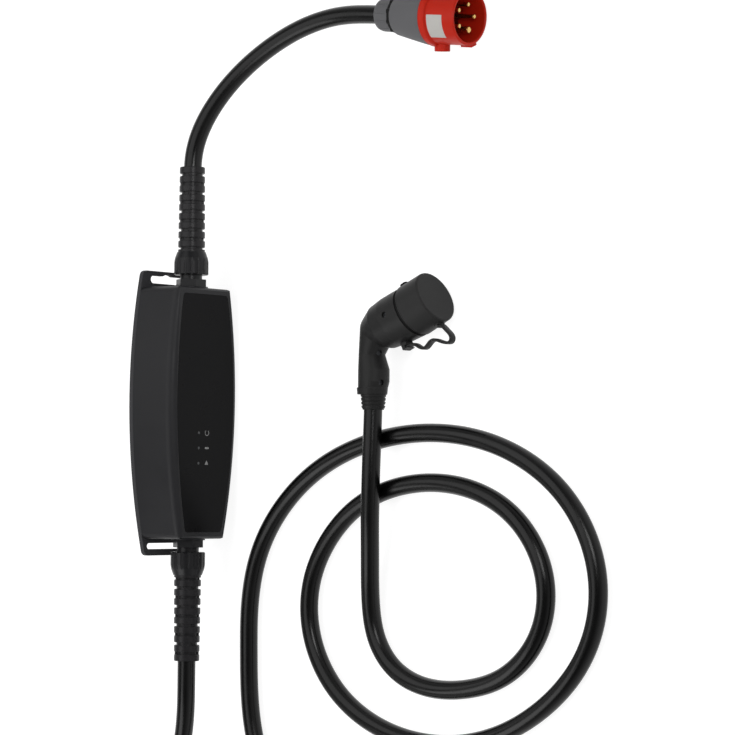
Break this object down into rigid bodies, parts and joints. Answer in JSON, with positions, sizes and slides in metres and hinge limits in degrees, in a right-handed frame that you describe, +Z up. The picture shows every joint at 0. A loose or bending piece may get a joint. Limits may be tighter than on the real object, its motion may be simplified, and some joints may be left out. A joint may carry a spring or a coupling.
{
  "type": "portable vehicle charger",
  "caption": "Portable electric vehicle charger: barrel-shaped control box with ribbed cable entries, an industrial supply plug and an angled vehicle connector with a dust cap.",
  "frame": {"origin": "on the floor under the middle of the control box, which lies on its right side", "axes": "+X out of the box's front, +Y towards its top end, +Z up out of its left side"},
  "size_m": [0.5952, 1.0129, 0.106],
  "materials": {
    "housing_plastic": "fine grain",
    "plate_plastic": "fine grain",
    "panel_gloss": "satin gloss",
    "clear_plastic": "clear",
    "board": "solder mask",
    "module_plastic": "matte",
    "terminal_plastic": "matte",
    "brass": "machined",
    "plated_contact": "plated",
    "steel": "bright",
    "seal_rubber": "matte",
    "gland_plastic": "satin",
    "relief_rubber": "satin",
    "grey_plastic": "satin",
    "red_plastic": "satin",
    "dark_red_plastic": "satin",
    "cap_rubber": "satin",
    "cable_jacket": "satin",
    "connector_plastic": "fine grain"
  },
  "bodies": {
    "charger": {"housing": "housing_plastic", "back_plate": "plate_plastic", "housing_seal": "seal_rubber", "back_screws": "steel", "front_panel": "panel_gloss", "light_pipes": "clear_plastic", "control_board": "board", "power_relays": "module_plastic", "current_sensor": "module_plastic", "supply_terminal": "terminal_plastic", "vehicle_terminal": "terminal_plastic", "supply_cores": "brass", "vehicle_cores": "brass", "upper_gland_body": "gland_plastic", "upper_lock_nut": "gland_plastic", "upper_gland_nut": "gland_plastic", "upper_seal": "seal_rubber", "upper_relief": "relief_rubber", "lower_gland_body": "gland_plastic", "lower_lock_nut": "gland_plastic", "lower_gland_nut": "gland_plastic", "lower_seal": "seal_rubber", "lower_relief": "relief_rubber", "plug_clamp_nut": "grey_plastic", "plug_nut_seal": "seal_rubber", "plug_housing": "grey_plastic", "plug_grip": "seal_rubber", "plug_sleeve": "red_plastic", "pin_carrier": "dark_red_plastic", "plug_terminals": "brass", "line_pins": "brass", "earth_pin": "brass", "connector_shell_upper": "connector_plastic", "connector_shell_lower": "connector_plastic", "connector_screws": "steel", "connector_nose": "connector_plastic", "power_contacts": "plated_contact", "signal_contacts": "plated_contact", "nose_seal": "seal_rubber", "connector_tail": "connector_plastic", "strap_anchor": "cap_rubber", "cap_strap": "cap_rubber", "supply_cable": "cable_jacket", "vehicle_cable": "cable_jacket"},
    "dust_cap": {"dust_cap": "cap_rubber"}
  },
  "joints": [
    {"name": "cap_pull", "type": "slide", "parent": "charger", "child": "dust_cap", "axis": [0.9003, 0.4352, 0], "range_m": [0, 0.045], "deforming": ["cap_strap"]}
  ]
}
